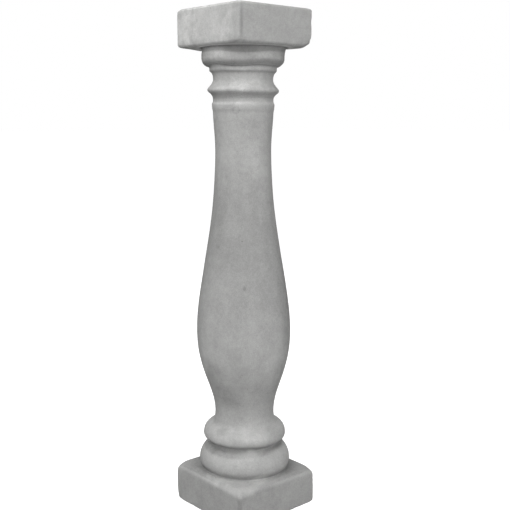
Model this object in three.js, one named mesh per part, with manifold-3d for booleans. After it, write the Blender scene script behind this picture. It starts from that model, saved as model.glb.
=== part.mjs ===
// A cast stone baluster: a square base slab, two round torus mouldings with a groove between them,
// a narrow foot that swells into a low belly, a long slender neck with a bead, a sharp ring, a hollow,
// a fillet and a cushion moulding, and a square abacus slab on top. It is cast in one piece.
// Millimetres, +Z up, origin at the centre of the underside. The slabs' sides face along X and Y.

import * as THREE from 'three';
import { mergeVertices } from 'three/addons/utils/BufferGeometryUtils.js';
import Module from 'manifold-3d';

// Overall height, underside of the base to the top of the abacus
const totalHeight = 600;

// Square slabs: side, thickness, rounding of the two rims and of the upright corners
const baseSide = 123;
const baseThickness = 46;
const baseTopRim = 8;
const baseBottomRim = 2;
const baseCorner = 3.5;
const abacusSide = 112;
const abacusThickness = 44;
const abacusTopRim = 3;
const abacusBottomRim = 4;
const abacusCorner = 3;

// Lower torus: widest radius, height of that ring above the slab, radius where it meets the slab,
// and the wide curve of its crown, which the groove cuts off
const lowerTorusRadius = 55.8;
const lowerTorusRise = 12;
const lowerTorusFootRadius = 46;
const lowerTorusCrownSpan = 24.6;
const lowerTorusCrownHeight = 24.9;

// Groove between the tori
const grooveRadius = 41;
const grooveHeight = 3.6;

// Upper torus: widest radius, height of its round underside and of its shoulder, radius of its arris
const upperTorusRadius = 50.7;
const upperTorusUnderside = 6.4;
const upperTorusShoulder = 15;
const arrisRadius = 37.4;

// Foot, belly, waist and neck of the shaft: radius of each and the height of each stretch but the
// longest, from the belly up to the waist, which takes what the others leave
const footRadius = 36.1;
const footHeight = 12.8;
const bellyRadius = 57;
const bellyHeight = 101.5;
const waistRadius = 33.2;
const waistDepth = 45;
const neckRadius = 35.6;

// How long each end of those stretches keeps upright before it bends, as a share of its height
const flareHold = { low: 0.3, high: 0.4 };
const bellyHold = { low: 0.31, high: 0.49 };
const shaftHold = { low: 0.26, high: 0.44 };
const neckHold = { low: 0.37, high: 0.21 };

// Bead at the top of the shaft and the cove above it
const beadRadius = 36.9;
const beadTaper = 2.8;
const beadHeight = 5.1;
const beadBevel = 1.5;
const coveRadius = 35.4;
const coveHeight = 5.1;

// Sharp ring: radius and height of its nose, height of the curve below it, and the point that
// curve bends towards, as a share of its reach and of its height
const ringRadius = 41.9;
const ringNose = 3;
const ringUnderside = 7;
const ringBend = { reach: 0.3, height: 0.55 };

// Hollow above the ring: least radius, height of its lower and upper curves, and how far the lower
// one runs straight up from the ring and stays upright at its top, as shares
const hollowRadius = 35.1;
const hollowLower = 11.2;
const hollowUpper = 9.4;
const hollowSlope = { reach: 0.5, height: 0.35 };
const hollowHold = 0.35;

// Fillet, cushion moulding and the drum that carries the abacus
const filletRadius = 39.4;
const filletHeight = 6.2;
const cushionHeight = 8.2;
const drumRadius = 48.4;
const drumHeight = 12.4;

// How far the turned body runs into each slab, so that the cast is one solid
const slabBite = 8;

// Facets: around the turned body, along each arc and curve of its outline, on each rim and corner of
// a slab, the height of one facet on the long swelling stretches, and the fewest that such a stretch has
const turnFacets = 56;
const arcFacets = 5;
const curveFacets = 4;
const rimFacets = 3;
const cornerFacets = 3;
const swellFacetHeight = 12;
const leastSwellFacets = 3;

// Smallest plan radius of a slab's corner where its rim rounds in
const leastCorner = 0.4;

const cement = new THREE.MeshStandardMaterial({ color: 0xa3a3a1, roughness: 0.92, metalness: 0 });

// Quarter turns, in radians, that the arcs of the outline start and end on
const outward = 0;
const upward = Math.PI / 2;
const inward = Math.PI;
const downward = -Math.PI / 2;

// Points of an elliptical arc in the radius and height plane, both ends included
function arc(centreRadius, centreHeight, reach, rise, from, to) {
  const points = [];
  for (let i = 0; i <= arcFacets; i += 1) {
    const angle = from + ((to - from) * i) / arcFacets;
    points.push(
      new THREE.Vector2(centreRadius + reach * Math.cos(angle), centreHeight + rise * Math.sin(angle)),
    );
  }
  return points;
}

// Points of a smooth stretch that leaves and arrives upright, its first point left out
function swell(startRadius, startHeight, endRadius, endHeight, hold) {
  const climb = endHeight - startHeight;
  const curve = new THREE.CubicBezierCurve(
    new THREE.Vector2(startRadius, startHeight),
    new THREE.Vector2(startRadius, startHeight + climb * hold.low),
    new THREE.Vector2(endRadius, endHeight - climb * hold.high),
    new THREE.Vector2(endRadius, endHeight),
  );
  const facets = Math.max(Math.round(Math.abs(climb) / swellFacetHeight), leastSwellFacets);
  return curve.getPoints(facets).slice(1);
}

// Outline of the turned body from its lower end on the axis to its upper end on the axis
function turnedOutline() {
  const points = [];
  const add = (...more) => points.push(...more);
  const corner = (radius, height) => add(new THREE.Vector2(radius, height));

  corner(0, baseThickness - slabBite);
  corner(lowerTorusFootRadius, baseThickness - slabBite);

  // lower torus: round under its widest ring, then the crown up to the groove
  const lowerWidest = baseThickness + lowerTorusRise;
  const lowerUnderReach = lowerTorusRadius - lowerTorusFootRadius;
  add(...arc(lowerTorusFootRadius, lowerWidest, lowerUnderReach, lowerTorusRise, downward, outward));
  const crownCentre = lowerTorusRadius - lowerTorusCrownSpan;
  const crownShare = THREE.MathUtils.clamp((grooveRadius - crownCentre) / lowerTorusCrownSpan, 0, 1);
  const crownEnd = Math.acos(crownShare);
  const crown = arc(
    crownCentre, lowerWidest, lowerTorusCrownSpan, lowerTorusCrownHeight, outward, crownEnd,
  );
  add(...crown.slice(1));

  // groove
  const grooveFloor = crown[crown.length - 1].y;
  const grooveTop = grooveFloor + grooveHeight;

  // upper torus: round underside, widest ring, shoulder up to the arris
  const upperWidest = grooveTop + upperTorusUnderside;
  const underReach = upperTorusRadius - grooveRadius;
  add(...arc(grooveRadius, upperWidest, underReach, upperTorusUnderside, downward, outward));
  const shoulderReach = upperTorusRadius - arrisRadius;
  add(...arc(arrisRadius, upperWidest, shoulderReach, upperTorusShoulder, outward, upward).slice(1));

  // foot, belly, waist and neck
  const arrisLevel = upperWidest + upperTorusShoulder;
  const footLevel = arrisLevel + footHeight;
  const bellyLevel = footLevel + bellyHeight;
  const abacusLevel = totalHeight - abacusThickness;
  const cushionTop = abacusLevel - drumHeight;
  const filletTop = cushionTop - cushionHeight;
  const filletLevel = filletTop - filletHeight;
  const hollowLevel = filletLevel - hollowUpper;
  const noseTop = hollowLevel - hollowLower;
  const noseLevel = noseTop - ringNose;
  const coveTop = noseLevel - ringUnderside;
  const beadTop = coveTop - coveHeight;
  const beadLevel = beadTop - beadBevel - beadHeight;
  const neckLevel = beadLevel - beadTaper;
  const waistLevel = neckLevel - waistDepth;
  add(...swell(arrisRadius, arrisLevel, footRadius, footLevel, flareHold));
  add(...swell(footRadius, footLevel, bellyRadius, bellyLevel, bellyHold));
  add(...swell(bellyRadius, bellyLevel, waistRadius, waistLevel, shaftHold));
  add(...swell(waistRadius, waistLevel, neckRadius, neckLevel, neckHold));

  // bead and cove
  corner(beadRadius, beadLevel);
  corner(beadRadius, beadLevel + beadHeight);
  corner(coveRadius, beadTop);

  // sharp ring: a hollow curve out to the nose, then the hollow above it
  const ringReach = ringRadius - coveRadius;
  const ringSweep = new THREE.QuadraticBezierCurve(
    new THREE.Vector2(coveRadius, coveTop),
    new THREE.Vector2(coveRadius + ringReach * ringBend.reach, coveTop + ringUnderside * ringBend.height),
    new THREE.Vector2(ringRadius, noseLevel),
  );
  add(...ringSweep.getPoints(curveFacets));
  const slopeRadius = ringRadius + (hollowRadius - ringRadius) * hollowSlope.reach;
  const slopeHeight = noseTop + hollowLower * hollowSlope.height;
  const hollowSweep = new THREE.CubicBezierCurve(
    new THREE.Vector2(ringRadius, noseTop),
    new THREE.Vector2(slopeRadius, slopeHeight),
    new THREE.Vector2(hollowRadius, hollowLevel - hollowLower * hollowHold),
    new THREE.Vector2(hollowRadius, hollowLevel),
  );
  add(...hollowSweep.getPoints(curveFacets));
  const flare = filletRadius - hollowRadius;
  add(...arc(filletRadius, hollowLevel, flare, hollowUpper, inward, upward).slice(1));

  // fillet, cushion and drum
  corner(filletRadius, filletTop);
  const cushionReach = drumRadius - filletRadius;
  add(...arc(filletRadius, cushionTop, cushionReach, cushionHeight, downward, outward).slice(1));
  corner(drumRadius, abacusLevel + slabBite);
  corner(0, abacusLevel + slabBite);
  return points;
}

// The turned body, closed on the axis at both ends
function turnedBody() {
  return new THREE.LatheGeometry(turnedOutline(), turnFacets);
}

// One level of a slab: the corners of its rounded square, drawn in from the full side by inset
function slabLevel(side, cornerRadius, inset, height) {
  const radius = Math.max(cornerRadius - inset, leastCorner);
  const centre = side / 2 - inset - radius;
  const ring = [];
  for (let quarter = 0; quarter < 4; quarter += 1) {
    const turn = (quarter * Math.PI) / 2;
    const across = Math.SQRT2 * centre;
    const centreX = across * Math.cos(turn + Math.PI / 4);
    const centreY = across * Math.sin(turn + Math.PI / 4);
    for (let i = 0; i <= cornerFacets; i += 1) {
      const angle = turn + ((Math.PI / 2) * i) / cornerFacets;
      ring.push([centreX + radius * Math.cos(angle), centreY + radius * Math.sin(angle), height]);
    }
  }
  return ring;
}

// A square slab with rounded rims and upright corners, its underside at floor
function slab(side, thickness, floor, bottomRim, topRim, cornerRadius) {
  const levels = [];
  for (let i = 0; i <= rimFacets; i += 1) {
    const angle = ((Math.PI / 2) * i) / rimFacets;
    const inset = bottomRim * (1 - Math.sin(angle));
    levels.push(slabLevel(side, cornerRadius, inset, floor + bottomRim * (1 - Math.cos(angle))));
  }
  for (let i = 0; i <= rimFacets; i += 1) {
    const angle = ((Math.PI / 2) * i) / rimFacets;
    const inset = topRim * (1 - Math.cos(angle));
    levels.push(slabLevel(side, cornerRadius, inset, floor + thickness - topRim * (1 - Math.sin(angle))));
  }
  const around = levels[0].length;
  const positions = levels.flat();
  const triangles = [];
  for (let level = 0; level < levels.length - 1; level += 1) {
    for (let i = 0; i < around; i += 1) {
      const next = (i + 1) % around;
      const low = level * around;
      const high = low + around;
      triangles.push(low + i, low + next, high + next);
      triangles.push(low + i, high + next, high + i);
    }
  }
  const lastLevel = (levels.length - 1) * around;
  const underCentre = positions.push([0, 0, floor]) - 1;
  const topCentre = positions.push([0, 0, floor + thickness]) - 1;
  for (let i = 0; i < around; i += 1) {
    const next = (i + 1) % around;
    triangles.push(underCentre, next, i);
    triangles.push(topCentre, lastLevel + i, lastLevel + next);
  }
  const geometry = new THREE.BufferGeometry();
  geometry.setAttribute('position', new THREE.Float32BufferAttribute(positions.flat(), 3));
  geometry.setIndex(triangles);
  return geometry;
}

// A closed solid for joining, from a geometry with its shared corners merged
function solidOf(wasm, geometry) {
  const bare = geometry.clone();
  bare.deleteAttribute('normal');
  bare.deleteAttribute('uv');
  const merged = mergeVertices(bare);
  return new wasm.Manifold(
    new wasm.Mesh({
      numProp: 3,
      vertProperties: new Float32Array(merged.attributes.position.array),
      triVerts: new Uint32Array(merged.index.array),
    }),
  );
}

// A geometry from a joined solid
function geometryOf(solid) {
  const mesh = solid.getMesh();
  const geometry = new THREE.BufferGeometry();
  geometry.setAttribute('position', new THREE.Float32BufferAttribute(mesh.vertProperties, 3));
  geometry.setIndex(new THREE.Uint32BufferAttribute(mesh.triVerts, 1));
  geometry.computeVertexNormals();
  return geometry;
}

const wasm = await Module();
wasm.setup();

// The lathe turns about Y, so the body is stood up along Z before it is joined to the slabs
const shaft = turnedBody();
shaft.rotateX(Math.PI / 2);
const baseSlab = slab(baseSide, baseThickness, 0, baseBottomRim, baseTopRim, baseCorner);
const abacusFloor = totalHeight - abacusThickness;
const abacus = slab(
  abacusSide, abacusThickness, abacusFloor, abacusBottomRim, abacusTopRim, abacusCorner,
);
const cast = solidOf(wasm, baseSlab).add(solidOf(wasm, shaft)).add(solidOf(wasm, abacus));

const baluster = new THREE.Mesh(geometryOf(cast), cement);
baluster.name = 'baluster';

const part = new THREE.Group();
part.add(baluster);

export default part;
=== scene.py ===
import math

import bpy
import numpy as np
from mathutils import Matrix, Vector, noise


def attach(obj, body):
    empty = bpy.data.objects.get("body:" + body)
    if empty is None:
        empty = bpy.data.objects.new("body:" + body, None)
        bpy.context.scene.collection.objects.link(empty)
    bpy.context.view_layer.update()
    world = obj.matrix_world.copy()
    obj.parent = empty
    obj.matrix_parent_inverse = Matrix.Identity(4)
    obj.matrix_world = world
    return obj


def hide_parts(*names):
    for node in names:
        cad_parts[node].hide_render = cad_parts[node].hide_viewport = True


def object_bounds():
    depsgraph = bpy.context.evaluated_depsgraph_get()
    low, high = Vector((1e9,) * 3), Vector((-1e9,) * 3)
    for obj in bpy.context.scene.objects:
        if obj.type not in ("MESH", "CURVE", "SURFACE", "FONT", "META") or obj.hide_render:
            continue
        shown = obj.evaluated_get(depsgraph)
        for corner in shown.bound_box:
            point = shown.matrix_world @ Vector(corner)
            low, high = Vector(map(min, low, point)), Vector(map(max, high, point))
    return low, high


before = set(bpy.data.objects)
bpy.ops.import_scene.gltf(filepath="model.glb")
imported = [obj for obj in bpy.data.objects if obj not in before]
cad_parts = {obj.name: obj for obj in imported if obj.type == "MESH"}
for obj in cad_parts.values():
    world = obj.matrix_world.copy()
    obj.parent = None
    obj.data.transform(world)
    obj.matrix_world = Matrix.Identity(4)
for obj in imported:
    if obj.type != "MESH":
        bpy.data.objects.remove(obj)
cadLow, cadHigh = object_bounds()
mm = 0.001  # the cast is drawn in millimetres, and its mesh is made in metres

# What a user would change on the cast: radii and heights of the mouldings, as on the solid
balusterShape = {
    "baseThickness": 46.0,
    "baseTopRim": 8.0,
    "baseBottomRim": 2.0,
    "baseCorner": 3.5,
    "abacusSide": 112.0,
    "abacusThickness": 44.0,
    "abacusTopRim": 3.0,
    "abacusBottomRim": 4.0,
    "abacusCorner": 3.0,
    "lowerTorusRadius": 55.8,
    "lowerTorusRise": 12.0,
    "lowerTorusFootRadius": 46.0,
    "lowerTorusCrownSpan": 24.6,
    "lowerTorusCrownHeight": 24.9,
    "grooveRadius": 41.0,
    "grooveHeight": 3.6,
    "upperTorusRadius": 50.7,
    "upperTorusUnderside": 6.4,
    "upperTorusShoulder": 15.0,
    "arrisRadius": 37.4,
    "footRadius": 36.1,
    "footHeight": 12.8,
    "bellyRadius": 57.0,
    "bellyHeight": 101.5,
    "waistRadius": 33.2,
    "waistDepth": 45.0,
    "neckRadius": 35.6,
    "flareHold": (0.30, 0.40),
    "bellyHold": (0.31, 0.49),
    "shaftHold": (0.26, 0.44),
    "neckHold": (0.37, 0.21),
    "beadRadius": 36.9,
    "beadTaper": 2.8,
    "beadHeight": 5.1,
    "beadBevel": 1.5,
    "coveRadius": 35.4,
    "coveHeight": 5.1,
    "ringRadius": 41.9,
    "ringNose": 3.0,
    "ringUnderside": 7.0,
    "ringBend": (0.30, 0.55),
    "hollowRadius": 35.1,
    "hollowLower": 11.2,
    "hollowUpper": 9.4,
    "hollowSlope": (0.50, 0.35),
    "hollowHold": 0.35,
    "filletRadius": 39.4,
    "filletHeight": 6.2,
    "cushionHeight": 8.2,
    "drumRadius": 48.4,
    "drumHeight": 12.4,
}

# How the cast is drawn: steps along the outline, points round it, and how soft its edges came out
castMesh = {
    "fineStep": 0.2,  # of the outline before it is softened
    "edgeSoftness": 1.0,  # how far an edge is rounded
    "jointSoftness": 3.0,  # and where the foot meets the upper torus and the shaft runs into the bead
    "footReach": 9.0,  # either side of the foot's joint
    "beadReach": 5.0,  # and of the bead's
    "jointCore": 0.3,  # share of that reach that is softened in full
    "fillAngle": -55,  # degrees below its widest where the slurry meets the lower torus
    "fillReach": 0.6,  # how far it runs out on the slab
    "fillBend": (0.4, 0.2),  # how closely it keeps to the corner, outwards and upwards
    "fillEdge": 0.2,  # slab outside the slurry that belongs to the outline
    "drumFill": 2.4,  # slurry in the corner under the abacus
    "mouldingStep": 1.25,
    "shaftStep": 2.6,
    "shaftMargins": (6.0, 4.0),  # from the foot and from the neck, where the shaft's step begins
    "stepBlend": 30,  # fine steps over which one step turns into the other
    "slabStep": 3.4,
    "rimPoints": 6,
    "rimTaper": 0.6,  # how much a corner's radius grows as a rim turns in
    "flatRings": 7,  # from a slab's rim to the mouldings
    "bedRings": 9,  # across a bearing face
    "bedCentre": 0.04,  # share of the slab where the innermost of them lies
    "facePoints": 58,  # along one side of a slab
    "cornerPoints": 10,  # round one upright corner
    "cornerSpread": 2.2,  # degrees either side of the diagonal that those points take
    "sharpest": 1.5,  # bend of an edge, per millimetre, beyond which it counts no more
    "onBed": 0.01,  # how near to a bearing face a point belongs to it
}

# Camera at the photograph's viewing angle, in metres; the slabs stand turned, one corner to the front
cameraPlace = {
    "distance": 1.0054,  # from the baluster's axis
    "height": 0.4743,
    "turn": 40.97,  # degrees that the slabs are turned from square on
    "pitch": 9.124,
    "yaw": 0.715,
    "lens": 59.55,
    "sensor": 36,
}

# Unevenness of the cast. A turn is in degrees from the front corner, to the right positive
castWear = {
    "lump": {"depth": 0.40, "breadth": 46.0},
    "ripple": {"depth": 0.16, "breadth": 13.0},
    "slabSink": 0.6,  # share of those depths by which the slabs' faces lie inwards
    "noiseOffset": (17.3, 5.1, 29.7),  # keeps one kind of noise apart from the next
    "chip": {"depth": 1.1, "breadth": 7.0, "gain": 1.6, "least": 0.35, "edgeGain": 2.5},
    "knocks": (  # turn, distance from the axis, level, how far up it faces, depth and breadth
        (-94, 85, 46, 1.0, 2.2, 8),
        (86, 85, 46, 1.0, 2.4, 8),
        (-4, 85, 46, 0.8, 1.4, 7),
        (86, 77, 556, -1.0, 3.4, 8),
        (-4, 77, 556, -1.0, 1.2, 7),
        (-94, 77, 600, 1.0, 1.0, 5),
        (-94, 85, 0, -0.3, 1.5, 8),
        (176, 85, 46, 1.0, 1.6, 7),
        (176, 77, 556, -1.0, 1.5, 7),
        (-120, 58, 556, -6.0, -1.9, 18),  # here the abacus hangs lower instead
    ),
    "bedKnock": 0.5,  # share of a knock that a bearing face takes
    "cushionLobes": {"reach": 7.0, "waves": ((3, -62, 1.1), (5, 20, 0.66))},  # count, turn and rise
    "cushionSag": {"drop": 1.1, "turn": -98, "side": (0.6, 1.0)},
    "grooveSag": {"drop": 1.4, "reach": 8.0, "side": (0.05, 0.5)},  # of the groove, on the right
    "slabLift": {"rise": 0.9, "lean": 1.5, "radius": 86, "levels": (18, 44), "until": (48, 58)},
    "ringWave": {"rise": 0.40, "breadth": 30.0},  # how the mouldings wander; twice that on the capital
    "capitalFrom": 60.0,  # below the neck, where the capital's unevenness sets in
    "ringTilt": 1.1,  # degrees that the capital's rings run down, away from the bow
    "bow": 1.4,  # sideways, from the belly up to the drum
    "bowTowards": 139.0,  # degrees round from +X
    "bowFrom": (105.0, 260.0),
    "bowUntil": (547.0, 557.0),
    "footShift": 0.4,  # share of the bow that the tori and the foot already have
    "footShiftFrom": (50.0, 60.0),
}


def frontTurn(turn):
    return math.radians(turn + 270 - cameraPlace["turn"])


def facingTo(angles, turn):
    return np.cos(angles - frontTurn(turn))[None, :]


def besideTo(angles, turn):
    return np.sin(angles - frontTurn(turn))[None, :]


def ease(values, start, end):
    t = np.clip((values - start) / (end - start), 0, 1)
    return t * t * (3 - 2 * t)


def linePoints(start, end):
    length = math.dist(start, end)
    count = max(int(length / castMesh["fineStep"]), 1)
    across, along = end[0] - start[0], end[1] - start[1]
    return [(start[0] + across * i / count, start[1] + along * i / count) for i in range(1, count + 1)]


def arcPoints(centre, reach, rise, start, end):
    count = int(max(reach, rise) * abs(end - start) / castMesh["fineStep"]) + 2
    angles = np.linspace(start, end, count)
    return [(centre[0] + reach * math.cos(a), centre[1] + rise * math.sin(a)) for a in angles]


def bezierPoints(a, b, c, d):
    count = int(math.dist(a, d) / castMesh["fineStep"]) + 2
    points = []
    for t in np.linspace(0, 1, count):
        u = 1 - t
        weights = (u ** 3, 3 * u * u * t, 3 * u * t * t, t ** 3)
        points.append(tuple(sum(w * p[k] for w, p in zip(weights, (a, b, c, d))) for k in (0, 1)))
    return points


def swellPoints(startRadius, startLevel, endRadius, endLevel, hold):
    climb = endLevel - startLevel
    return bezierPoints(
        (startRadius, startLevel),
        (startRadius, startLevel + climb * hold[0]),
        (endRadius, endLevel - climb * hold[1]),
        (endRadius, endLevel),
    )


# Heights of the mouldings: the lower ones counted up from the floor, the capital's down from the abacus
def mouldingLevels(s, height):
    crownCentre = s["lowerTorusRadius"] - s["lowerTorusCrownSpan"]
    crownEnd = math.acos((s["grooveRadius"] - crownCentre) / s["lowerTorusCrownSpan"])
    levels = {"bed": s["baseThickness"]}
    levels["lowerTorus"] = levels["bed"] + s["lowerTorusRise"]
    levels["crown"] = levels["lowerTorus"] + s["lowerTorusCrownHeight"] * math.sin(crownEnd)
    levels["grooveTop"] = levels["crown"] + s["grooveHeight"]
    levels["groove"] = levels["grooveTop"] - s["grooveHeight"] / 2
    levels["upperTorus"] = levels["grooveTop"] + s["upperTorusUnderside"]
    levels["arris"] = levels["upperTorus"] + s["upperTorusShoulder"]
    levels["foot"] = levels["arris"] + s["footHeight"]
    levels["belly"] = levels["foot"] + s["bellyHeight"]
    levels["abacus"] = height - s["abacusThickness"]
    levels["drum"] = levels["abacus"] - s["drumHeight"]
    levels["cushion"] = levels["drum"] - s["cushionHeight"]
    levels["fillet"] = levels["cushion"] - s["filletHeight"]
    levels["hollow"] = levels["fillet"] - s["hollowUpper"]
    levels["ringTop"] = levels["hollow"] - s["hollowLower"]
    levels["ring"] = levels["ringTop"] - s["ringNose"]
    levels["coveTop"] = levels["ring"] - s["ringUnderside"]
    levels["beadTop"] = levels["coveTop"] - s["coveHeight"]
    levels["bead"] = levels["beadTop"] - s["beadBevel"] - s["beadHeight"]
    levels["neck"] = levels["bead"] - s["beadTaper"]
    levels["waist"] = levels["neck"] - s["waistDepth"]
    return levels


# Lower torus, its joint with the slab filled with slurry, then groove and upper torus
def toriOutline(s, levels):
    right, up, down = 0.0, math.pi / 2, -math.pi / 2
    underReach = s["lowerTorusRadius"] - s["lowerTorusFootRadius"]
    under = arcPoints(
        (s["lowerTorusFootRadius"], levels["lowerTorus"]), underReach, s["lowerTorusRise"],
        math.radians(castMesh["fillAngle"]), right)
    meeting = under[0][0]
    fillStart = (meeting + castMesh["fillReach"], levels["bed"])
    fillBend = (meeting + castMesh["fillBend"][0], levels["bed"] + castMesh["fillBend"][1])
    points = [(fillStart[0] + castMesh["fillEdge"], levels["bed"])]
    points += linePoints(points[-1], fillStart)
    points += bezierPoints(fillStart, fillBend, fillBend, under[0])
    points += under
    crownCentre = s["lowerTorusRadius"] - s["lowerTorusCrownSpan"]
    crownEnd = math.acos((s["grooveRadius"] - crownCentre) / s["lowerTorusCrownSpan"])
    points += arcPoints(
        (crownCentre, levels["lowerTorus"]), s["lowerTorusCrownSpan"], s["lowerTorusCrownHeight"],
        right, crownEnd)
    points += linePoints(points[-1], (s["grooveRadius"], levels["grooveTop"]))
    points += arcPoints(
        (s["grooveRadius"], levels["upperTorus"]), s["upperTorusRadius"] - s["grooveRadius"],
        s["upperTorusUnderside"], down, right)
    points += arcPoints(
        (s["arrisRadius"], levels["upperTorus"]), s["upperTorusRadius"] - s["arrisRadius"],
        s["upperTorusShoulder"], right, up)
    return points


def shaftOutline(s, levels):
    points = []
    for start, end, hold in (("arris", "foot", "flareHold"), ("foot", "belly", "bellyHold"),
                             ("belly", "waist", "shaftHold"), ("waist", "neck", "neckHold")):
        points += swellPoints(s[start + "Radius"], levels[start], s[end + "Radius"], levels[end], s[hold])
    return points


# Bead, cove, sharp ring and hollow, then fillet, cushion and drum, with slurry under the abacus
def capitalOutline(s, levels, neck):
    up, left, right, down = math.pi / 2, math.pi, 0.0, -math.pi / 2
    points = [neck]
    for corner in ((s["beadRadius"], levels["bead"]), (s["beadRadius"], levels["bead"] + s["beadHeight"]),
                   (s["coveRadius"], levels["beadTop"]), (s["coveRadius"], levels["coveTop"])):
        points += linePoints(points[-1], corner)
    bend = (s["coveRadius"] + (s["ringRadius"] - s["coveRadius"]) * s["ringBend"][0],
            levels["coveTop"] + s["ringUnderside"] * s["ringBend"][1])
    points += bezierPoints(
        (s["coveRadius"], levels["coveTop"]), bend, bend, (s["ringRadius"], levels["ring"]))
    points += linePoints(points[-1], (s["ringRadius"], levels["ringTop"]))
    slope = (s["ringRadius"] + (s["hollowRadius"] - s["ringRadius"]) * s["hollowSlope"][0],
             levels["ringTop"] + s["hollowLower"] * s["hollowSlope"][1])
    hold = (s["hollowRadius"], levels["hollow"] - s["hollowLower"] * s["hollowHold"])
    points += bezierPoints(
        (s["ringRadius"], levels["ringTop"]), slope, hold, (s["hollowRadius"], levels["hollow"]))
    points += arcPoints(
        (s["filletRadius"], levels["hollow"]), s["filletRadius"] - s["hollowRadius"], s["hollowUpper"],
        left, up)
    points += linePoints(points[-1], (s["filletRadius"], levels["cushion"]))
    points += arcPoints(
        (s["filletRadius"], levels["drum"]), s["drumRadius"] - s["filletRadius"], s["cushionHeight"],
        down, right)
    fill = castMesh["drumFill"]
    fillBend = (s["drumRadius"], levels["abacus"])
    points += linePoints(points[-1], (s["drumRadius"], levels["abacus"] - fill))
    points += bezierPoints(points[-1], fillBend, fillBend, (s["drumRadius"] + fill, levels["abacus"]))
    return points[1:]


def alongLength(points):
    steps = np.hypot(*np.diff(points, axis=0).T)
    return np.concatenate([[0], np.cumsum(steps)])


def evened(points):
    length = alongLength(points)
    keep = np.concatenate([[True], np.diff(length) > 1e-9])
    even = np.linspace(0, length[-1], int(length[-1] / castMesh["fineStep"]))
    return np.column_stack([np.interp(even, length[keep], points[keep, k]) for k in (0, 1)])


def softened(track, softness):
    reach = int(3 * softness / castMesh["fineStep"])
    kernel = np.exp(-0.5 * (np.arange(-reach, reach + 1) * castMesh["fineStep"] / softness) ** 2)
    kernel /= kernel.sum()
    padded = np.vstack([2 * track[0] - track[reach:0:-1], track, 2 * track[-1] - track[-2:-reach - 2:-1]])
    return np.column_stack([np.convolve(padded[:, k], kernel, "valid") for k in (0, 1)])


def resampled(points, levels):
    length = alongLength(points)
    fromFoot, fromNeck = castMesh["shaftMargins"]
    onShaft = (points[:, 1] > levels["foot"] + fromFoot) & (points[:, 1] < levels["neck"] - fromNeck)
    step = np.where(onShaft, castMesh["shaftStep"], castMesh["mouldingStep"])
    blend = castMesh["stepBlend"]
    width = 2 * blend + 1
    step = np.convolve(np.pad(step, blend, mode="edge"), np.ones(width) / width, "valid")
    progress = np.concatenate([[0], np.cumsum(np.diff(length) / ((step[1:] + step[:-1]) / 2))])
    wanted = np.linspace(0, progress[-1], int(round(progress[-1])) + 1)
    return np.column_stack([np.interp(wanted, progress, points[:, k]) for k in (0, 1)])


def turnedTrack(shape, levels):
    outline = toriOutline(shape, levels) + shaftOutline(shape, levels)
    outline += capitalOutline(shape, levels, outline[-1])
    track = evened(np.array(outline))
    crisp = softened(track, castMesh["edgeSoftness"])
    soft = softened(track, castMesh["jointSoftness"])
    turned = crisp.copy()
    for name, reach in (("arris", castMesh["footReach"]), ("bead", castMesh["beadReach"])):
        joint = 1 - ease(np.abs(track[:, 1] - levels[name]), castMesh["jointCore"] * reach, reach)
        turned += (soft - crisp) * joint[:, None]
    return resampled(turned, levels)


# A ring of the cast: half side and corner of a rounded square, radius of a circle, how far it is
# that circle, and its level
def squareRing(half, corner, level):
    return (half, corner, 1.0, 0.0, level)


def roundRing(radius, level):
    return (1.0, 0.1, radius, 1.0, level)


def slabRings(half, floor, thickness, bottomRim, topRim, corner):
    taper = castMesh["rimTaper"]
    angles = np.linspace(0, math.pi / 2, castMesh["rimPoints"] + 1)
    rings = []
    for a in angles:
        inset = bottomRim * (1 - math.sin(a))
        level = floor + bottomRim * (1 - math.cos(a))
        rings.append(squareRing(half - inset, corner + taper * inset, level))
    low, high = floor + bottomRim, floor + thickness - topRim
    count = int(round((high - low) / castMesh["slabStep"]))
    rings += [squareRing(half, corner, low + (high - low) * i / count) for i in range(1, count)]
    for a in angles:
        inset = topRim * (1 - math.cos(a))
        level = floor + thickness - topRim * (1 - math.sin(a))
        rings.append(squareRing(half - inset, corner + taper * inset, level))
    return rings


# Rings on the flat of a slab, from its rim in to the mouldings
def flatRings(outer, radius, level):
    count = castMesh["flatRings"]
    return [(outer[0], outer[1], radius, i / count, level) for i in range(1, count)]


def bedRings(outer, level):
    shares = np.linspace(castMesh["bedCentre"], 1, castMesh["bedRings"])[:-1]
    return [squareRing(outer[0] * share, outer[1] * share, level) for share in shares]


def castRings(s, levels, baseHalf, height):
    base = slabRings(baseHalf, 0.0, s["baseThickness"], s["baseBottomRim"], s["baseTopRim"], s["baseCorner"])
    abacus = slabRings(s["abacusSide"] / 2, levels["abacus"], s["abacusThickness"], s["abacusBottomRim"],
                       s["abacusTopRim"], s["abacusCorner"])
    turned = turnedTrack(s, levels)
    rings = bedRings(base[0], 0.0) + base
    rings += flatRings(base[-1], turned[0][0], levels["bed"])
    rings += [roundRing(radius, level) for radius, level in turned]
    rings += flatRings(abacus[0], turned[-1][0], levels["abacus"])[::-1]
    rings += abacus + bedRings(abacus[-1], height)[::-1]
    return np.array(rings)


def ringAngles():
    spread = math.radians(castMesh["cornerSpread"])
    edge = math.tan(math.pi / 4 - spread)
    face = np.arctan(np.linspace(-edge, edge, castMesh["facePoints"] + 1))
    corner = np.linspace(math.pi / 4 - spread, math.pi / 4 + spread, castMesh["cornerPoints"] + 1)[1:-1]
    quarter = np.concatenate([face, corner])
    return np.concatenate([quarter + k * math.pi / 2 for k in range(4)])


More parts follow.
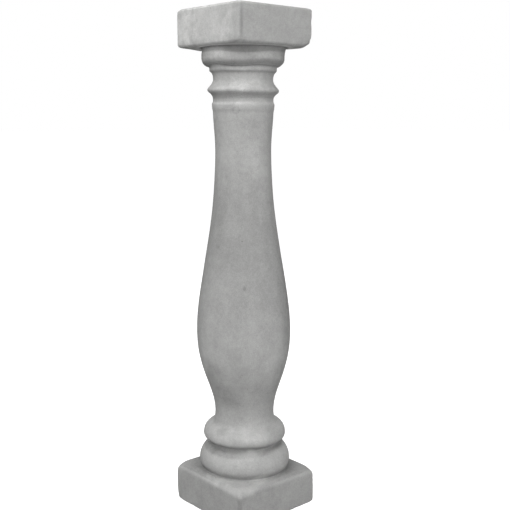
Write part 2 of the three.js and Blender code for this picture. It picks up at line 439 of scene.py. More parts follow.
def squareRadius(half, corner, angles):
    fold = np.abs((angles + math.pi / 4) % (math.pi / 2) - math.pi / 4)
    half, corner = half[:, None], corner[:, None]
    flat = half / np.cos(fold)
    centre = half - corner
    along = centre * (np.cos(fold) + np.sin(fold))
    inside = np.maximum(along ** 2 - (2 * centre ** 2 - corner ** 2), 0)
    return np.where(half * np.tan(fold) <= centre, flat, along + np.sqrt(inside))


def castGrid(rings, angles):
    half, corner, circle, roundness, level = rings.T
    radius = squareRadius(half, corner, angles) * (1 - roundness)[:, None] + (circle * roundness)[:, None]
    grid = np.empty(radius.shape + (3,))
    grid[..., 0] = radius * np.cos(angles)
    grid[..., 1] = radius * np.sin(angles)
    grid[..., 2] = level[:, None]
    return grid


def gridNormals(grid):
    around = np.roll(grid, -1, axis=1) - np.roll(grid, 1, axis=1)
    upward = np.gradient(grid, axis=0)
    normals = np.cross(around, upward)
    return normals / np.maximum(np.linalg.norm(normals, axis=2, keepdims=True), 1e-9)


# How sharply the surface bends at each point: above 0 on an arris, below 0 in a crease
def sharpness(grid, normals):
    step = np.roll(grid, -1, axis=1) - grid
    turn = np.roll(normals, -1, axis=1) - normals
    bend = (step * turn).sum(2) / np.maximum((step ** 2).sum(2), 1e-6)
    step = np.diff(grid, axis=0)
    turn = np.diff(normals, axis=0)
    bend[1:] += (step * turn).sum(2) / np.maximum((step ** 2).sum(2), 1e-6)
    return np.clip(bend, -castMesh["sharpest"], castMesh["sharpest"])


def noiseField(grid, breadth, seed):
    offset = Vector(seed * part for part in castWear["noiseOffset"])
    scaled = grid.reshape(-1, 3) / breadth
    return np.array([noise.noise(Vector(p) + offset) for p in scaled]).reshape(grid.shape[:2])


def turnedPart(rings):
    return (rings[:, 3] == 1)[:, None]


# Lumps, ripples and chips; on the slabs mostly inwards, so that the cast stays in the solid's box
def roughenFaces(grid, normals, bend, rings, bedded):
    sink = ~turnedPart(rings) * castWear["slabSink"]
    depth = np.zeros(grid.shape[:2])
    for seed, name in enumerate(("lump", "ripple"), 1):
        kind = castWear[name]
        depth += kind["depth"] * (noiseField(grid, kind["breadth"], seed) - sink) / 2
    chip = castWear["chip"]
    chips = np.clip(noiseField(grid, chip["breadth"], 3) * chip["gain"] - chip["least"], 0, 1)
    depth -= chip["depth"] * chips * np.clip(bend * chip["edgeGain"], 0, 1)
    depth[bedded] = 0
    grid += normals * depth[..., None]


def knockCorners(grid, bedded):
    for turn, distance, level, upward, depth, breadth in castWear["knocks"]:
        place = frontTurn(turn)
        tip = np.array((distance * math.cos(place), distance * math.sin(place), level))
        away = np.array((math.cos(place), math.sin(place), upward))
        near = np.exp(-((grid - tip) ** 2).sum(2) / breadth ** 2)
        near[bedded] *= castWear["bedKnock"]
        push = near[..., None] * away * depth / np.linalg.norm(away)
        push[bedded, 2] = 0
        grid -= push


def unevenMouldings(grid, rings, levels, angles):
    level = rings[:, 4]
    turned = turnedPart(rings)

    # the cushion was smoothed by hand, so its lower edge waves, and sags on the left
    lobes, sag = castWear["cushionLobes"], castWear["cushionSag"]
    lobe = np.exp(-((level - levels["cushion"]) / lobes["reach"]) ** 2)[:, None] * turned
    wavy = sum(rise * np.cos(count * (angles - frontTurn(turn))) for count, turn, rise in lobes["waves"])
    grid[..., 2] += lobe * wavy[None, :]
    grid[..., 2] -= sag["drop"] * lobe * ease(facingTo(angles, sag["turn"]), *sag["side"])

    # the groove between the tori runs down on the right
    sag = castWear["grooveSag"]
    dip = np.exp(-((level - levels["groove"]) / sag["reach"]) ** 2)[:, None] * turned
    grid[..., 2] -= sag["drop"] * dip * ease(besideTo(angles, 0), *sag["side"])

    # the base's top face leans up to the left, and takes the joint with the lower torus along
    lift = castWear["slabLift"]
    lean = -besideTo(angles, 0) * np.hypot(grid[..., 0], grid[..., 1]) / lift["radius"]
    raised = (ease(level, *lift["levels"]) * (1 - ease(level, *lift["until"])))[:, None]
    grid[..., 2] += raised * (lift["rise"] + lift["lean"] * lean)

    # the rings wander a little up and down
    belowDrum = 1 - ease(level, *castWear["bowUntil"])
    onCapital = (ease(level, levels["neck"] - castWear["capitalFrom"], levels["neck"]) * belowDrum)[:, None]
    wave = castWear["ringWave"]
    wander = noiseField(grid, wave["breadth"], 4)
    grid[..., 2] += turned * (1 + onCapital) * wave["rise"] * wander

    # the capital's rings tilt, and the shaft bows to one side
    towards = math.radians(castWear["bowTowards"])
    aside = grid[..., 0] * math.cos(towards) + grid[..., 1] * math.sin(towards)
    grid[..., 2] += turned * onCapital * aside * math.tan(math.radians(castWear["ringTilt"]))
    share = castWear["footShift"]
    climb = share * ease(level, *castWear["footShiftFrom"]) + (1 - share) * ease(level, *castWear["bowFrom"])
    bow = (castWear["bow"] * climb * belowDrum)[:, None] * turned
    grid[..., 0] += bow * math.cos(towards)
    grid[..., 1] += bow * math.sin(towards)


# Where painted shade lies, in millimetres and shares, and how dark each is
paintedShadePlaces = {
    "groove": {"dark": 0.60, "top": (-6.0, -2.0), "bottom": (5.0, 8.0)},
    "grooveShadowLeft": {"turn": -40, "lower": (2.5, 2.7)},  # its lower edge runs further down here
    "grooveFront": {"turn": 8, "power": 24, "less": 0.40},  # and its painted shadow is lighter here
    "foot": {"dark": 0.85, "front": 0.05, "reach": 11.0, "depth": 3.5},
    "footCorners": {"reach": 13.0, "side": (0.88, 0.99)},  # further out at the left and right corners
    "ring": {"dark": 0.25, "top": (1.2, 2.7), "bottom": (6.7, 8.2)},
    "fillet": {"dark": 0.40, "below": 1.2, "edge": (0.6, 1.8)},
    "cushion": {"dark": 0.62, "bottom": (-3.2, -1.4), "top": (2.6, 5.6)},
    "cushionRight": {"higher": 2.0, "side": (-0.1, 0.6)},
    "drum": {"dark": 0.95, "from": 8.0, "margin": 1.0, "level": 14.7, "edge": (-0.8, 1.6)},
    "drumFront": {"turn": 4, "power": 8, "lower": 2.8},
    "soffit": {"dark": 0.80, "depth": 0.6, "radius": (51, 60)},
    "abacusRim": {"dark": 0.36, "middle": 1.0, "reach": 5.0, "facing": 0.3, "fade": (-0.45, 0.05),
                  "soffit": (-1.0, -0.9)},
}


# Painted shade in the groove between the tori, and on the slab round the lower one
def paintBaseShade(grid, rings, levels, angles, shape):
    height = grid[..., 2]
    # painted shadow of the upper torus on the lower torus, reaching further down on the left
    d, left, front = paintedShadePlaces["groove"], paintedShadePlaces["grooveShadowLeft"], paintedShadePlaces["grooveFront"]
    below = levels["groove"] - height
    leftward = np.clip(facingTo(angles, left["turn"]), 0, 1)
    start, end = (edge + lower * leftward for edge, lower in zip(d["bottom"], left["lower"]))
    lessShaded = 1 - front["less"] * np.clip(facingTo(angles, front["turn"]), 0, 1) ** front["power"]
    groove = d["dark"] * ease(below, *d["top"]) * (1 - ease(below, start, end)) * lessShaded

    # painted shade on the slab round the lower torus, reaching further out at the left and right corners
    d, corners = paintedShadePlaces["foot"], paintedShadePlaces["footCorners"]
    outside = np.maximum(np.hypot(grid[..., 0], grid[..., 1]) - shape["lowerTorusRadius"], 0)
    reach = d["reach"] + corners["reach"] * ease(np.abs(besideTo(angles, 0)), *corners["side"])
    onTop = (np.abs(rings[:, 4] - levels["bed"]) < d["depth"])[:, None]
    toSides = 1 - np.clip(facingTo(angles, 0), 0, 1) ** 2
    foot = onTop * np.exp(-(outside / reach) ** 2) * (d["front"] + d["dark"] * toSides)
    return [groove, foot]


# Painted shade under the sharp ring and the fillet, round the cushion and on the soffit, and the abacus's
# painted shadow on the drum
def paintCapitalShade(grid, rings, levels, angles, facing, shape):
    height = grid[..., 2]
    radius = np.hypot(grid[..., 0], grid[..., 1])
    turned = turnedPart(rings)
    # painted shade under the sharp ring
    d = paintedShadePlaces["ring"]
    below = levels["ring"] - height
    ring = d["dark"] * ease(below, *d["top"]) * (1 - ease(below, *d["bottom"]))

    # painted shade in a thin band just under the fillet
    d = paintedShadePlaces["fillet"]
    fillet = d["dark"] * (1 - ease(np.abs(height - levels["fillet"] + d["below"]), *d["edge"]))

    # painted shade round the cushion's underside, reaching higher on the right
    d, right = paintedShadePlaces["cushion"], paintedShadePlaces["cushionRight"]
    above = height - levels["cushion"]
    higher = right["higher"] * ease(besideTo(angles, 0), *right["side"])
    cushion = d["dark"] * ease(above, *d["bottom"]) * (1 - ease(above - higher, *d["top"]))

    # painted shadow of the abacus on the top of the drum, deepest under the front corner
    d, front = paintedShadePlaces["drum"], paintedShadePlaces["drumFront"]
    outermost = shape["drumRadius"] + castMesh["drumFill"] + d["margin"]
    onDrum = turned & (radius < outermost) & (above > d["from"])
    shade = d["level"] - front["lower"] * np.clip(facingTo(angles, front["turn"]), 0, 1) ** front["power"]
    drum = d["dark"] * onDrum * ease(above - shade, *d["edge"])

    # painted shade on the abacus's soffit, darker further out
    d = paintedShadePlaces["soffit"]
    onSoffit = ~turned & (np.abs(height - levels["abacus"]) < d["depth"])
    soffit = d["dark"] * onSoffit * ease(radius, *d["radius"])

    # painted shade on the abacus's lower rim, where it looks down
    d = paintedShadePlaces["abacusRim"]
    onRim = (np.abs(height - levels["abacus"] - d["middle"]) < d["reach"]) & (facing < d["facing"])
    rim = d["dark"] * onRim * (1 - ease(facing, *d["fade"])) * ease(facing, *d["soffit"])
    return [ring, fillet, cushion, drum, soffit, rim]


# What else the finish reads at each point. Arrises are worn pale and carry a painted highlight, less and
# less to the right, away from the light
castMarks = {
    "arrisGain": 5.0,
    "arrisTurn": -4,
    "arrisSide": (-0.1, 0.45),
    "arrisRightLess": 0.9,
    "uprightFacing": 0.25,  # the slabs' upright corners aren't pale; they look up or down less than this
    "creaseGain": 2.0,
    "shaftFade": 20.0,  # below the neck, where the streaks of the shaft fade out
}


def wornAndHighlitArris(bend, rings, angles, facing):
    upright = ~turnedPart(rings) & (np.abs(facing) < castMarks["uprightFacing"])
    onRight = ease(besideTo(angles, castMarks["arrisTurn"]), *castMarks["arrisSide"])
    wear = np.where(upright, 0.0, 1.0 - castMarks["arrisRightLess"] * onRight)
    return wear * np.clip(bend * castMarks["arrisGain"], 0, 1)


def meshOfGrid(grid, height):
    rows, columns = grid.shape[:2]
    vertices = [tuple(v) for v in grid.reshape(-1, 3) * mm]
    vertices += [(0, 0, 0), (0, 0, height * mm)]
    faces = []
    for row in range(rows - 1):
        for column in range(columns):
            a = row * columns + column
            b = row * columns + (column + 1) % columns
            faces.append((a, b, b + columns, a + columns))
    lowCentre, highCentre = rows * columns, rows * columns + 1
    lastRow = (rows - 1) * columns
    for column in range(columns):
        following = (column + 1) % columns
        faces.append((lowCentre, following, column))
        faces.append((highCentre, lastRow + column, lastRow + following))
    mesh = bpy.data.meshes.new("castBaluster")
    mesh.from_pydata(vertices, [], faces)
    mesh.update()
    mesh.shade_smooth()
    print("cast:", rows, "rings of", columns, "points,", 2 * rows * columns, "triangles")
    return mesh


def makeCast(shape):
    baseHalf = (cadHigh.x - cadLow.x) / 2 / mm
    height = (cadHigh.z - cadLow.z) / mm
    levels = mouldingLevels(shape, height)
    rings = castRings(shape, levels, baseHalf, height)
    angles = ringAngles()
    grid = castGrid(rings, angles)
    bedded = (grid[..., 2] < castMesh["onBed"]) | (grid[..., 2] > height - castMesh["onBed"])
    normals = gridNormals(grid)
    bend = sharpness(grid, normals)
    roughenFaces(grid, normals, bend, rings, bedded)
    knockCorners(grid, bedded)
    unevenMouldings(grid, rings, levels, angles)
    grid[..., 2] = np.clip(grid[..., 2], 0, height)
    mesh = meshOfGrid(grid, height)

    # what the finish needs to know at each point of the cast
    facing = gridNormals(grid)[..., 2]
    level = grid[..., 2]
    onShaft = ease(level, levels["arris"], levels["foot"])
    onShaft *= 1 - ease(level, levels["neck"] - castMarks["shaftFade"], levels["neck"])
    # painted shade from all these places, kept in one attribute
    shadeMarks = paintBaseShade(grid, rings, levels, angles, shape)
    shadeMarks += paintCapitalShade(grid, rings, levels, angles, facing, shape)
    marks = {
        "arris": wornAndHighlitArris(bend, rings, angles, facing),
        # painted shade in creases, by how sharply the surface bends inwards
        "creaseShade": np.clip(-bend * castMarks["creaseGain"], 0, 1),
        "facing": facing,
        "paintedShade": np.maximum.reduce(shadeMarks),
        "shaft": onShaft,
    }
    for name, values in marks.items():
        attribute = mesh.attributes.new(name, "FLOAT", "POINT")
        attribute.data.foreach_set("value", np.append(values.ravel(), (0, 0)))
    cast = bpy.data.objects.new("cast_baluster", mesh)
    bpy.context.scene.collection.objects.link(cast)
    return cast


cast = makeCast(balusterShape)

# Finish of the cement, with its painted light and shade. Breadths and depths are in metres; a spread of 0.1
# is a tenth lighter and darker
cementFinishAndPaintedLight = {
    "grey": 0.345,
    "blueShare": 0.985,  # of the grey, so that it is a trace warm
    "roughness": (0.82, 0.96),
    "specular": 0.3,
    "noiseRoughness": 0.55,
    "cloud": {"breadth": 0.060, "detail": 4.0, "offset": 0.0, "spread": 0.05},
    "mottle": {"breadth": 0.017, "detail": 4.0, "offset": 3.1, "spread": 0.065},
    "speckle": {"breadth": 0.0042, "detail": 4.0, "offset": 6.2, "spread": 0.060},
    "grain": {"breadth": 0.0011, "detail": 2.0, "offset": 9.3, "spread": 0.10},
    "streak": {"breadth": 0.010, "length": 0.140, "detail": 4.0, "offset": 12.4, "spread": 0.035},
    "ragged": {"breadth": 0.012, "detail": 4.0, "offset": 21.0, "spread": 0.35},  # edges of stains
    "raggedFrom": 8,  # millimetres; the edge of a narrower stain stays even
    "broken": {"breadth": 0.010, "detail": 4.0, "offset": 33.0},  # worn arrises and their painted highlights
    "brokenRange": (0.35, 0.65),
    "brokenShare": (0.3, 1.0),
    "arrisPaleAndHighlight": 0.15,
    "creaseShadeDark": 0.10,
    # how much the painted shade darkens the cement
    "paintedShadeDark": 0.40,
    "paintedLightByFacing": (  # painted light and shade by which way a face looks, lighter looking up and straight down, darker looking down and out; -1 looks straight down, 1 straight up
        (-1, 1.80), (-0.93, 1.10), (-0.75, 0.90), (-0.4, 0.90), (0, 1), (0.35, 1.10), (0.7, 1.15),
        (0.9, 1.20), (1, 1.36)),
    "paintedLightByHeight": (  # height in millimetres, how light the cement is painted there: painted highlights on the bead and the ring's upper slope, painted shade on the middle of the shaft and on the base
        (0, 0.94), (40, 0.95), (47, 0.95), (50, 0.92), (53, 0.93), (58, 1.02), (94, 1.01), (104, 1.02),
        (122, 1.0), (150, 1.04), (180, 1.12), (225, 1.0), (270, 0.86), (300, 0.81), (340, 0.81),
        (380, 0.86), (430, 1.01), (482, 1.04), (488, 1.10), (491, 1.15), (495, 1.15), (499, 1.06),
        (512, 1.12), (520, 1.18), (530, 1.10), (545, 1.05), (556, 1.04), (562, 1.05), (600, 1.05)),
    # pits are painted darker, as painted shade inside them
    "pores": {"spacing": 0.0075, "radius": 0.00085, "core": 0.35, "share": 0.22, "dark": 0.35},
    "sheen": {"breadth": 0.017, "detail": 3.0, "offset": 9.0},
    "grainRelief": {"breadth": 0.0011, "detail": 3.0, "offset": 5.0, "depth": 0.00016},
    "speckleRelief": {"breadth": 0.0042, "detail": 4.0, "offset": 6.0, "depth": 0.00030},
    "poreDepth": 0.0006,
}

# Stains, and painted light and shade: turn from the front corner, height, reach from the axis and breadth in
# millimetres, how many times taller than broad, and how much lighter or darker the middle is
stainsAndPaintedLight = {
    "slabCorner": {"turn": -19, "height": 46, "breadth": 12, "taller": 0.7, "tone": 0.08, "reach": 74},
    # painted highlight on the left of the slab's top arris
    "slabLeft": {"turn": -40, "height": 47, "breadth": 20, "taller": 0.40, "tone": 0.20, "reach": 61},
    "slabRight": {"turn": 22, "height": 42, "breadth": 18, "taller": 0.40, "tone": -0.15, "reach": 67},
    "slurryPale": {"turn": 20, "height": 49, "breadth": 14, "taller": 0.35, "tone": 0.30, "reach": 53},
    "cornerDirt": {"turn": -3, "height": 40, "breadth": 9, "taller": 1.0, "tone": -0.16, "reach": 85},
    "baseSeam": {"turn": -4.0, "height": 14, "breadth": 4.4, "taller": 7.0, "tone": -0.34, "reach": 86},
    # painted highlight on the lower torus's front bulge
    "torus": {"turn": 2, "height": 62, "breadth": 26, "taller": 0.5, "tone": 0.04, "reach": 54},
    # painted highlight on the lower torus's crown
    "torusCrown": {"turn": 10, "height": 78, "breadth": 18, "taller": 0.36, "tone": 0.26, "reach": 46},
    # painted shadow of the upper torus on the lower torus's upper left
    "grooveShadowLeft": {"turn": -50, "height": 79, "breadth": 15, "taller": 0.40, "tone": -0.22, "reach": 47},
    # painted highlight on the upper torus's front bulge
    "shoulder": {"turn": 8, "height": 90, "breadth": 20, "taller": 0.5, "tone": 0.05, "reach": 50},
    # painted highlight just above the upper torus's widest line
    "torusLip": {"turn": 16, "height": 97, "breadth": 18, "taller": 0.40, "tone": 0.13, "reach": 49},
    "footRight": {"turn": 46, "height": 99, "breadth": 9, "taller": 1.0, "tone": -0.14, "reach": 43},
    "footLeft": {"turn": -36, "height": 100, "breadth": 9, "taller": 0.9, "tone": -0.17, "reach": 43},
    "footPale": {"turn": 6, "height": 106, "breadth": 10, "taller": 0.7, "tone": 0.09, "reach": 38},
    # painted soft shadow on the lower left of the belly
    "foot": {"turn": -29, "height": 149, "breadth": 13, "taller": 1.2, "tone": -0.16, "reach": 37},
    # painted soft shadow on the lower left of the belly
    "belly": {"turn": -48, "height": 165, "breadth": 16, "taller": 1.3, "tone": -0.05, "reach": 47},
    "lowSpeck": {"turn": 0, "height": 171.4, "breadth": 2.6, "taller": 1.0, "tone": -0.20, "reach": 44.5},
    "bellyLow": {"turn": -46, "height": 182, "breadth": 18, "taller": 1.0, "tone": -0.13, "reach": 51},
    # painted shade along the belly's right edge
    "bellyRight": {"turn": 84, "height": 225, "breadth": 32, "taller": 3.2, "tone": -0.26, "reach": 57},
    "speck": {"turn": 0, "height": 281.4, "breadth": 2.8, "taller": 1.2, "tone": -0.24, "reach": 51},
    "bellyLeft": {"turn": -50, "height": 285, "breadth": 26, "taller": 1.2, "tone": 0.06, "reach": 51},
    "leftSpeck": {"turn": -46, "height": 327, "breadth": 4.0, "taller": 0.9, "tone": -0.14, "reach": 43},
    "rightStreak": {"turn": 29.5, "height": 365, "breadth": 3.0, "taller": 4.2, "tone": 0.14, "reach": 38},
    "shaftLeft": {"turn": -50, "height": 374, "breadth": 18, "taller": 1.9, "tone": -0.12, "reach": 38},
    "shaftRight": {"turn": 40, "height": 415, "breadth": 13, "taller": 4.0, "tone": 0.08, "reach": 36},
    # painted highlight on the shaft, just right of the front
    "shaft": {"turn": 12, "height": 433, "breadth": 12, "taller": 2.0, "tone": 0.13, "reach": 34},
    "neckStain": {"turn": -15, "height": 485, "breadth": 4.6, "taller": 1.0, "tone": -0.10, "reach": 36,
                  "ring": 0.8},  # only its outline shows
    # painted highlight on the bead's upper edge
    "bead": {"turn": 2, "height": 492, "breadth": 13, "taller": 0.4, "tone": 0.10, "reach": 37},
    # painted highlight along the ring's upper slope
    "ringHighlight": {"turn": -4, "height": 511, "breadth": 25, "taller": 0.20, "tone": 0.18, "reach": 40},
    # painted light on the front of the hollow
    "hollow": {"turn": 3, "height": 517, "breadth": 22, "taller": 0.5, "tone": 0.14, "reach": 37},
    # painted shade on the right of the hollow
    "hollowRight": {"turn": 58, "height": 517, "breadth": 17, "taller": 0.8, "tone": -0.10, "reach": 38},
    # painted light on the drum, right of the abacus corner's shadow
    "cushionRight": {"turn": 30, "height": 548, "breadth": 14, "taller": 0.40, "tone": 0.10, "reach": 49},
    # painted light on the drum, left of the abacus corner's shadow
    "cushionLeft": {"turn": -36, "height": 549, "breadth": 15, "taller": 0.40, "tone": 0.12, "reach": 49},
    # painted shade at the drum's right end
    "cushionEnd": {"turn": 76, "height": 549, "breadth": 15, "taller": 0.7, "tone": -0.20, "reach": 49},
    "abacusFront": {"turn": -16, "height": 572, "breadth": 14, "taller": 1.2, "tone": 0.10, "reach": 66},
    "abacusSeam": {"turn": -2.0, "height": 577, "breadth": 3.6, "taller": 6.0, "tone": -0.27, "reach": 77},
    # painted light on the far left of the abacus
    "abacusEnd": {"turn": -86, "height": 578, "breadth": 26, "taller": 1.1, "tone": 0.30, "reach": 76},
    # painted light on the abacus's left face
    "abacusLeft": {"turn": -48, "height": 582, "breadth": 52, "taller": 0.9, "tone": 0.26, "reach": 56},
}
stainEdge = (0.2, 1.25)  # shares of a stain's breadth between which it fades out
ringSharpness = 3.0  # of a stain that shows as a ring
noiseRange = (0.3, 0.7)  # nearly all values of a noise texture lie in it

cementMaterial = bpy.data.materials.new("castCement")
cementMaterial.use_nodes = True
cementNodes, cementLinks = cementMaterial.node_tree.nodes, cementMaterial.node_tree.links
cementPlace = cementNodes.new("ShaderNodeTexCoord").outputs["Object"]


def noiseOf(kind):
    texture = cementNodes.new("ShaderNodeTexNoise")
    texture.inputs["Scale"].default_value = 1.0
    texture.inputs["Detail"].default_value = kind["detail"]
    texture.inputs["Roughness"].default_value = cementFinishAndPaintedLight["noiseRoughness"]
    breadth, offset = kind["breadth"], kind["offset"]
    length = kind.get("length", breadth)
    mapping = cementNodes.new("ShaderNodeMapping")
    mapping.inputs["Scale"].default_value = (1 / breadth, 1 / breadth, 1 / length)
    mapping.inputs["Location"].default_value = (offset, offset * 0.7, offset * 1.3)
    cementLinks.new(cementPlace, mapping.inputs["Vector"])
    cementLinks.new(mapping.outputs["Vector"], texture.inputs["Vector"])
    return texture.outputs["Fac"]


def ranged(value, source, target, smooth=False):
    node = cementNodes.new("ShaderNodeMapRange")
    if smooth:
        node.interpolation_type = "SMOOTHSTEP"
    for name, bound in zip(("From Min", "From Max", "To Min", "To Max"), (*source, *target)):
        node.inputs[name].default_value = bound
    cementLinks.new(value, node.inputs["Value"])
    return node.outputs["Result"]


def joined(operation, a, b=0.0):
    node = cementNodes.new("ShaderNodeMath")
    node.operation = operation
    for socket, value in zip(node.inputs, (a, b)):
        if isinstance(value, (int, float)):
            socket.default_value = value
        else:
            cementLinks.new(value, socket)
    return node.outputs["Value"]


def attributeOf(name):
    node = cementNodes.new("ShaderNodeAttribute")
    node.attribute_name = name
    return node.outputs["Fac"]


# A tone read from a table of places and tones; the curve's own axis ends at 1, so tones go in halved
def curved(value, table):
    low, high = table[0][0], table[-1][0]
    node = cementNodes.new("ShaderNodeFloatCurve")
    curve = node.mapping.curves[0]
    for where, tone in table[1:-1]:
        curve.points.new((where - low) / (high - low), tone / 2)
    curve.points[0].location = (0, table[0][1] / 2)
    curve.points[-1].location = (1, table[-1][1] / 2)
    node.mapping.update()
    cementLinks.new(ranged(value, (low, high), (0, 1)), node.inputs["Value"])
    return joined("MULTIPLY", node.outputs["Value"], 2)


# Painted light and shade by height, then clouds, mottling, speckles, grain, and streaks down the shaft
def cementTone(f):
    split = cementNodes.new("ShaderNodeSeparateXYZ")
    cementLinks.new(cementPlace, split.inputs["Vector"])
    height = joined("DIVIDE", split.outputs["Z"], mm)
    tone = joined("MULTIPLY", curved(height, f["paintedLightByHeight"]), f["grey"])
    for name in ("cloud", "mottle", "speckle", "grain", "streak"):
        spread = f[name]["spread"]
        share = ranged(noiseOf(f[name]), noiseRange, (-spread, spread))
        if name == "streak":
            share = joined("MULTIPLY", share, attributeOf("shaft"))
        tone = joined("MULTIPLY", tone, joined("ADD", share, 1.0))
    return tone


def stainedAndPaintedLit(tone, f):
    spread = f["ragged"]["spread"]
    ragged = ranged(noiseOf(f["ragged"]), noiseRange, (-spread, spread))
    for stain in stainsAndPaintedLight.values():
        turn = frontTurn(stain["turn"])
        reach, breadth = stain["reach"], stain["breadth"] * mm
        mapping = cementNodes.new("ShaderNodeMapping")
        mapping.vector_type = "TEXTURE"
        centre = Vector((reach * math.cos(turn), reach * math.sin(turn), stain["height"])) * mm
        mapping.inputs["Location"].default_value = centre
        mapping.inputs["Scale"].default_value = (breadth, breadth, breadth * stain["taller"])
        cementLinks.new(cementPlace, mapping.inputs["Vector"])
        length = cementNodes.new("ShaderNodeVectorMath")
        length.operation = "LENGTH"
        cementLinks.new(mapping.outputs["Vector"], length.inputs[0])
        edge = length.outputs["Value"]
        if stain["breadth"] > f["raggedFrom"]:
            edge = joined("ADD", edge, ragged)
        if "ring" in stain:
            edge = joined("ABSOLUTE", joined("SUBTRACT", edge, stain["ring"]))
            edge = joined("MULTIPLY", edge, ringSharpness)
        tone = joined("MULTIPLY", tone, ranged(edge, stainEdge, (1 + stain["tone"], 1.0), True))
    return tone


# Arrises wear pale with a painted highlight, creases and the places above get painted shade, and each face
# gets painted light and shade by which way it looks
def wornAndShaded(tone, f):
    broken = ranged(noiseOf(f["broken"]), f["brokenRange"], f["brokenShare"])
    arris = joined("MULTIPLY", attributeOf("arris"), broken)
    for value, end in ((arris, 1 + f["arrisPaleAndHighlight"]), (attributeOf("creaseShade"), 1 - f["creaseShadeDark"]),
                       (attributeOf("paintedShade"), 1 - f["paintedShadeDark"])):
        tone = joined("MULTIPLY", tone, ranged(value, (0, 1), (1, end)))
    return joined("MULTIPLY", tone, curved(attributeOf("facing"), f["paintedLightByFacing"]))


# Pores: a share of scattered cells holds a small round pit
def poresOf(pores):
    cells = cementNodes.new("ShaderNodeTexVoronoi")
    cells.inputs["Scale"].default_value = 1 / pores["spacing"]
    cementLinks.new(cementPlace, cells.inputs["Vector"])
    chosen = joined("LESS_THAN", cells.outputs["Color"], pores["share"])
    radius = pores["radius"] / pores["spacing"]
    pit = ranged(cells.outputs["Distance"], (pores["core"] * radius, radius), (1, 0), True)
    return joined("MULTIPLY", pit, chosen)


def makeCement(f):
    shader = cementNodes["Principled BSDF"]
    shader.inputs["Specular IOR Level"].default_value = f["specular"]
    pit = poresOf(f["pores"])
    tone = wornAndShaded(stainedAndPaintedLit(cementTone(f), f), f)
    # painted shade inside the pits
    tone = joined("MULTIPLY", tone, ranged(pit, (0, 1), (1, 1 - f["pores"]["dark"])))
    colour = cementNodes.new("ShaderNodeCombineColor")
    cementLinks.new(tone, colour.inputs["Red"])
    cementLinks.new(tone, colour.inputs["Green"])
    cementLinks.new(joined("MULTIPLY", tone, f["blueShare"]), colour.inputs["Blue"])
    cementLinks.new(colour.outputs["Color"], shader.inputs["Base Color"])
    rough = ranged(noiseOf(f["sheen"]), noiseRange, f["roughness"])
    cementLinks.new(rough, shader.inputs["Roughness"])

    # relief too fine for the mesh: grain, speckles and pits
    grain, speckle = f["grainRelief"], f["speckleRelief"]
    relief = joined("MULTIPLY", noiseOf(grain), grain["depth"])
    relief = joined("ADD", relief, joined("MULTIPLY", noiseOf(speckle), speckle["depth"]))
    relief = joined("SUBTRACT", relief, joined("MULTIPLY", pit, f["poreDepth"]))
    bump = cementNodes.new("ShaderNodeBump")
    bump.inputs["Strength"].default_value = 1.0
    bump.inputs["Distance"].default_value = 1.0
    cementLinks.new(relief, bump.inputs["Height"])
    cementLinks.new(bump.outputs["Normal"], shader.inputs["Normal"])


makeCement(cementFinishAndPaintedLight)
cast.data.materials.append(cementMaterial)
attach(cast, "root")
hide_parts("baluster")
print("cement:", len(stainsAndPaintedLight), "stains and pale patches on the cast")


def makeCamera(c):
    data = bpy.data.cameras.new("viewCamera")
    data.sensor_width = c["sensor"]
    data.lens = c["lens"]
    camera = bpy.data.objects.new("viewCamera", data)
    bpy.context.scene.collection.objects.link(camera)
    turn = math.radians(-c["turn"])
    camera.location = (c["distance"] * math.sin(turn), -c["distance"] * math.cos(turn), c["height"])
    heading = turn - math.radians(c["yaw"])
    camera.rotation_euler = (math.radians(90 - c["pitch"]), 0, heading)
    bpy.context.scene.camera = camera


# Pale floor: its own colour, and a lift that the camera alone sees, so that it reads as white paper
floorFinish = {"size": 30.0, "colour": (0.3, 0.3, 0.3, 1), "lift": 1.05}
white = (1, 1, 1, 1)


def makeFloor(f):
    mesh = bpy.data.meshes.new("studioFloor")
    s = f["size"]
    mesh.from_pydata([(-s, -s, 0), (s, -s, 0), (s, s, 0), (-s, s, 0)], [], [(0, 1, 2, 3)])
    floor = bpy.data.objects.new("studioFloor", mesh)
    bpy.context.scene.collection.objects.link(floor)
    material = bpy.data.materials.new("studioFloor")
    material.use_nodes = True
    nodes, links = material.node_tree.nodes, material.node_tree.links
    shader = nodes["Principled BSDF"]
    shader.inputs["Base Color"].default_value = f["colour"]
    shader.inputs["Roughness"].default_value = 1.0
    shader.inputs["Emission Color"].default_value = white
    path = nodes.new("ShaderNodeLightPath")
    lift = nodes.new("ShaderNodeMath")
    lift.operation = "MULTIPLY"
    lift.inputs[1].default_value = f["lift"]
    links.new(path.outputs["Is Camera Ray"], lift.inputs[0])
    links.new(lift.outputs["Value"], shader.inputs["Emission Strength"])
    mesh.materials.append(material)


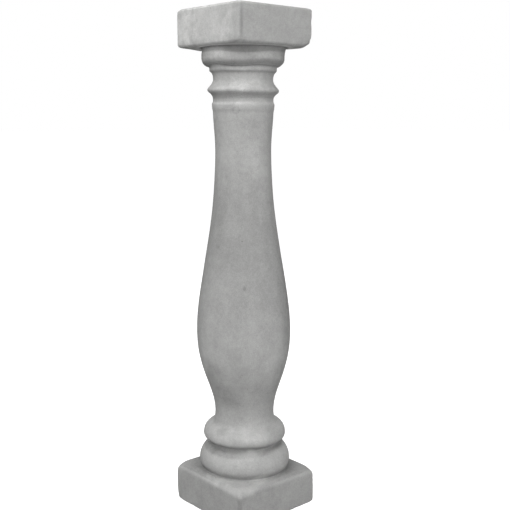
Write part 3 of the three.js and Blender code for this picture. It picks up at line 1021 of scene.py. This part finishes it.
# Soft studio light: each lamp's turn in degrees from the camera's side, to the left negative, and
# its place in metres
studioLights = {
    "keyLight": {"turn": -20, "distance": 1.5, "height": 1.1, "size": 0.9, "power": 12.4},
    "leftTopLight": {"turn": -75, "distance": 1.0, "height": 2.0, "size": 0.9, "power": 13.3},
    "rightTopLight": {"turn": 15, "distance": 1.0, "height": 2.0, "size": 0.9, "power": 7.5},
    "lowFrontLight": {"turn": -23, "distance": 1.6, "height": 0.4, "size": 0.9, "power": 9.7},
    "lowRightLight": {"turn": 75, "distance": 1.6, "height": 0.4, "size": 0.9, "power": 14.0},
    "backLight": {"turn": 182, "distance": 1.6, "height": 1.0, "size": 0.9, "power": 9.0},
    "backTopLight": {"turn": 150, "distance": 0.3, "height": 2.3, "size": 0.9, "power": 4.6},
}
lightAim = Vector((0, 0, 0.35))
roomLight = {"ambient": 0.01, "backdrop": 1.0}  # on the cast, and as the camera sees the room


def makeLight(name, lamp):
    data = bpy.data.lights.new(name, "AREA")
    data.shape = "DISK"
    data.size = lamp["size"]
    data.energy = lamp["power"]
    light = bpy.data.objects.new(name, data)
    bpy.context.scene.collection.objects.link(light)
    turn = math.radians(lamp["turn"] - cameraPlace["turn"])
    light.location = (lamp["distance"] * math.sin(turn), -lamp["distance"] * math.cos(turn), lamp["height"])
    light.rotation_euler = (lightAim - light.location).to_track_quat("-Z", "Y").to_euler()
    light.visible_camera = False


def makeWorld(room):
    world = bpy.data.worlds.new("studio")
    bpy.context.scene.world = world
    world.use_nodes = True
    nodes, links = world.node_tree.nodes, world.node_tree.links
    lighting, backdrop = nodes["Background"], nodes.new("ShaderNodeBackground")
    for node, strength in ((lighting, room["ambient"]), (backdrop, room["backdrop"])):
        node.inputs["Color"].default_value = white
        node.inputs["Strength"].default_value = strength
    path = nodes.new("ShaderNodeLightPath")
    mix = nodes.new("ShaderNodeMixShader")
    links.new(path.outputs["Is Camera Ray"], mix.inputs["Fac"])
    links.new(lighting.outputs["Background"], mix.inputs[1])
    links.new(backdrop.outputs["Background"], mix.inputs[2])
    links.new(mix.outputs["Shader"], nodes["World Output"].inputs["Surface"])


makeCamera(cameraPlace)
makeFloor(floorFinish)
for name, place in studioLights.items():
    makeLight(name, place)
makeWorld(roomLight)
bpy.context.scene.view_settings.view_transform = "Standard"
print("studio: camera, floor and", len(studioLights), "lights")
